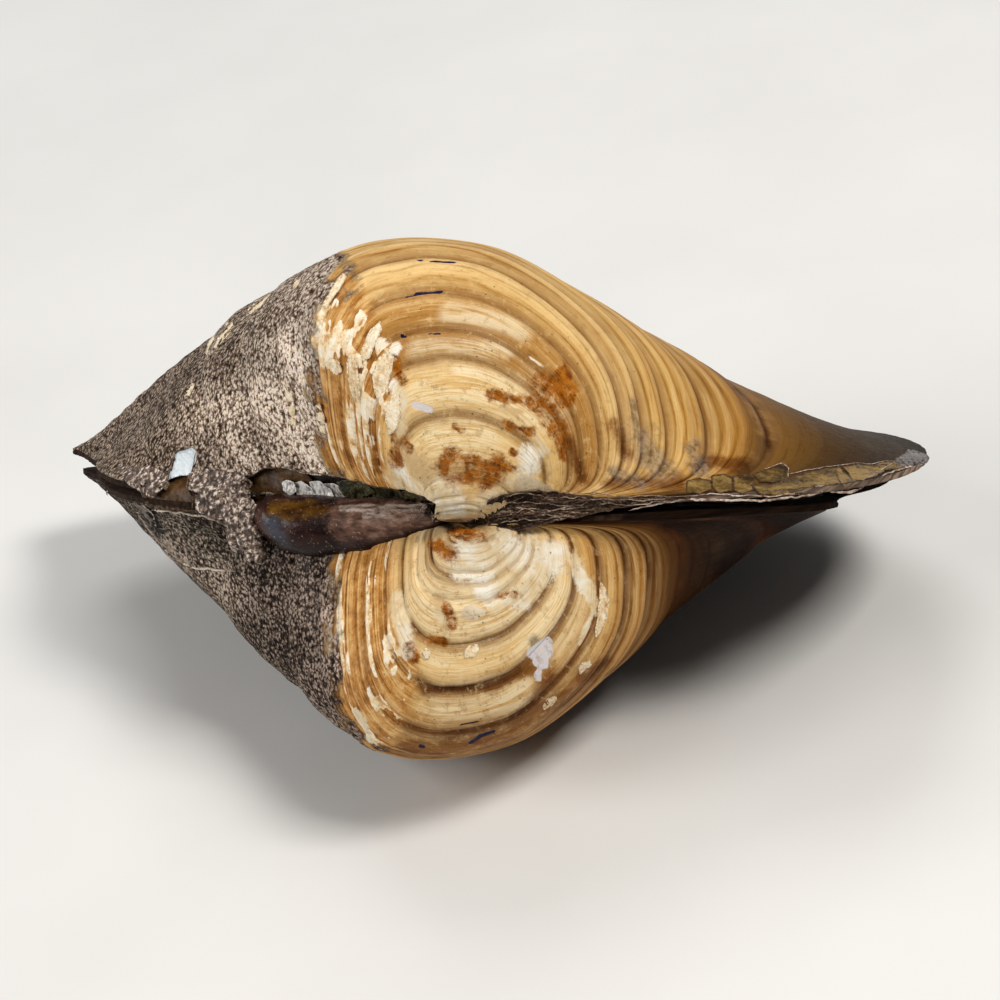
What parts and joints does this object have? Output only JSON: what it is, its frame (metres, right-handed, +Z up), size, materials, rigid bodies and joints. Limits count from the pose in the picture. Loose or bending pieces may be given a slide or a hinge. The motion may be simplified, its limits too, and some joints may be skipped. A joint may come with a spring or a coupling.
{
  "type": "river mussel shell",
  "caption": "Swollen river mussel shell lying on its right flank, both valves nearly closed, with growth rings, broken hinge margin and a torn dark ligament.",
  "frame": {"origin": "middle of the bounding box's underside, on the surface that the shell lies on", "axes": "+X towards the shell's front (anterior) end along its length, +Y away from the hinge towards the open (ventral) edge, +Z up"},
  "size_m": [0.0732, 0.0456, 0.0359],
  "materials": {
    "left_valve_shell": "tan and cream calcareous shell, satin, with rough grey-brown crust behind",
    "right_valve_shell": "tan to dark brown calcareous shell, satin, with rough dark crust behind",
    "ligament_horn": "glossy dark brown horny ligament",
    "ligament_crumb": "matt crumbly grey-brown ligament remains"
  },
  "bodies": {
    "root": {"left_valve": "left_valve_shell", "right_valve": "right_valve_shell", "ligament": "ligament_horn", "ligament_stub": "ligament_crumb"}
  },
  "joints": []
}
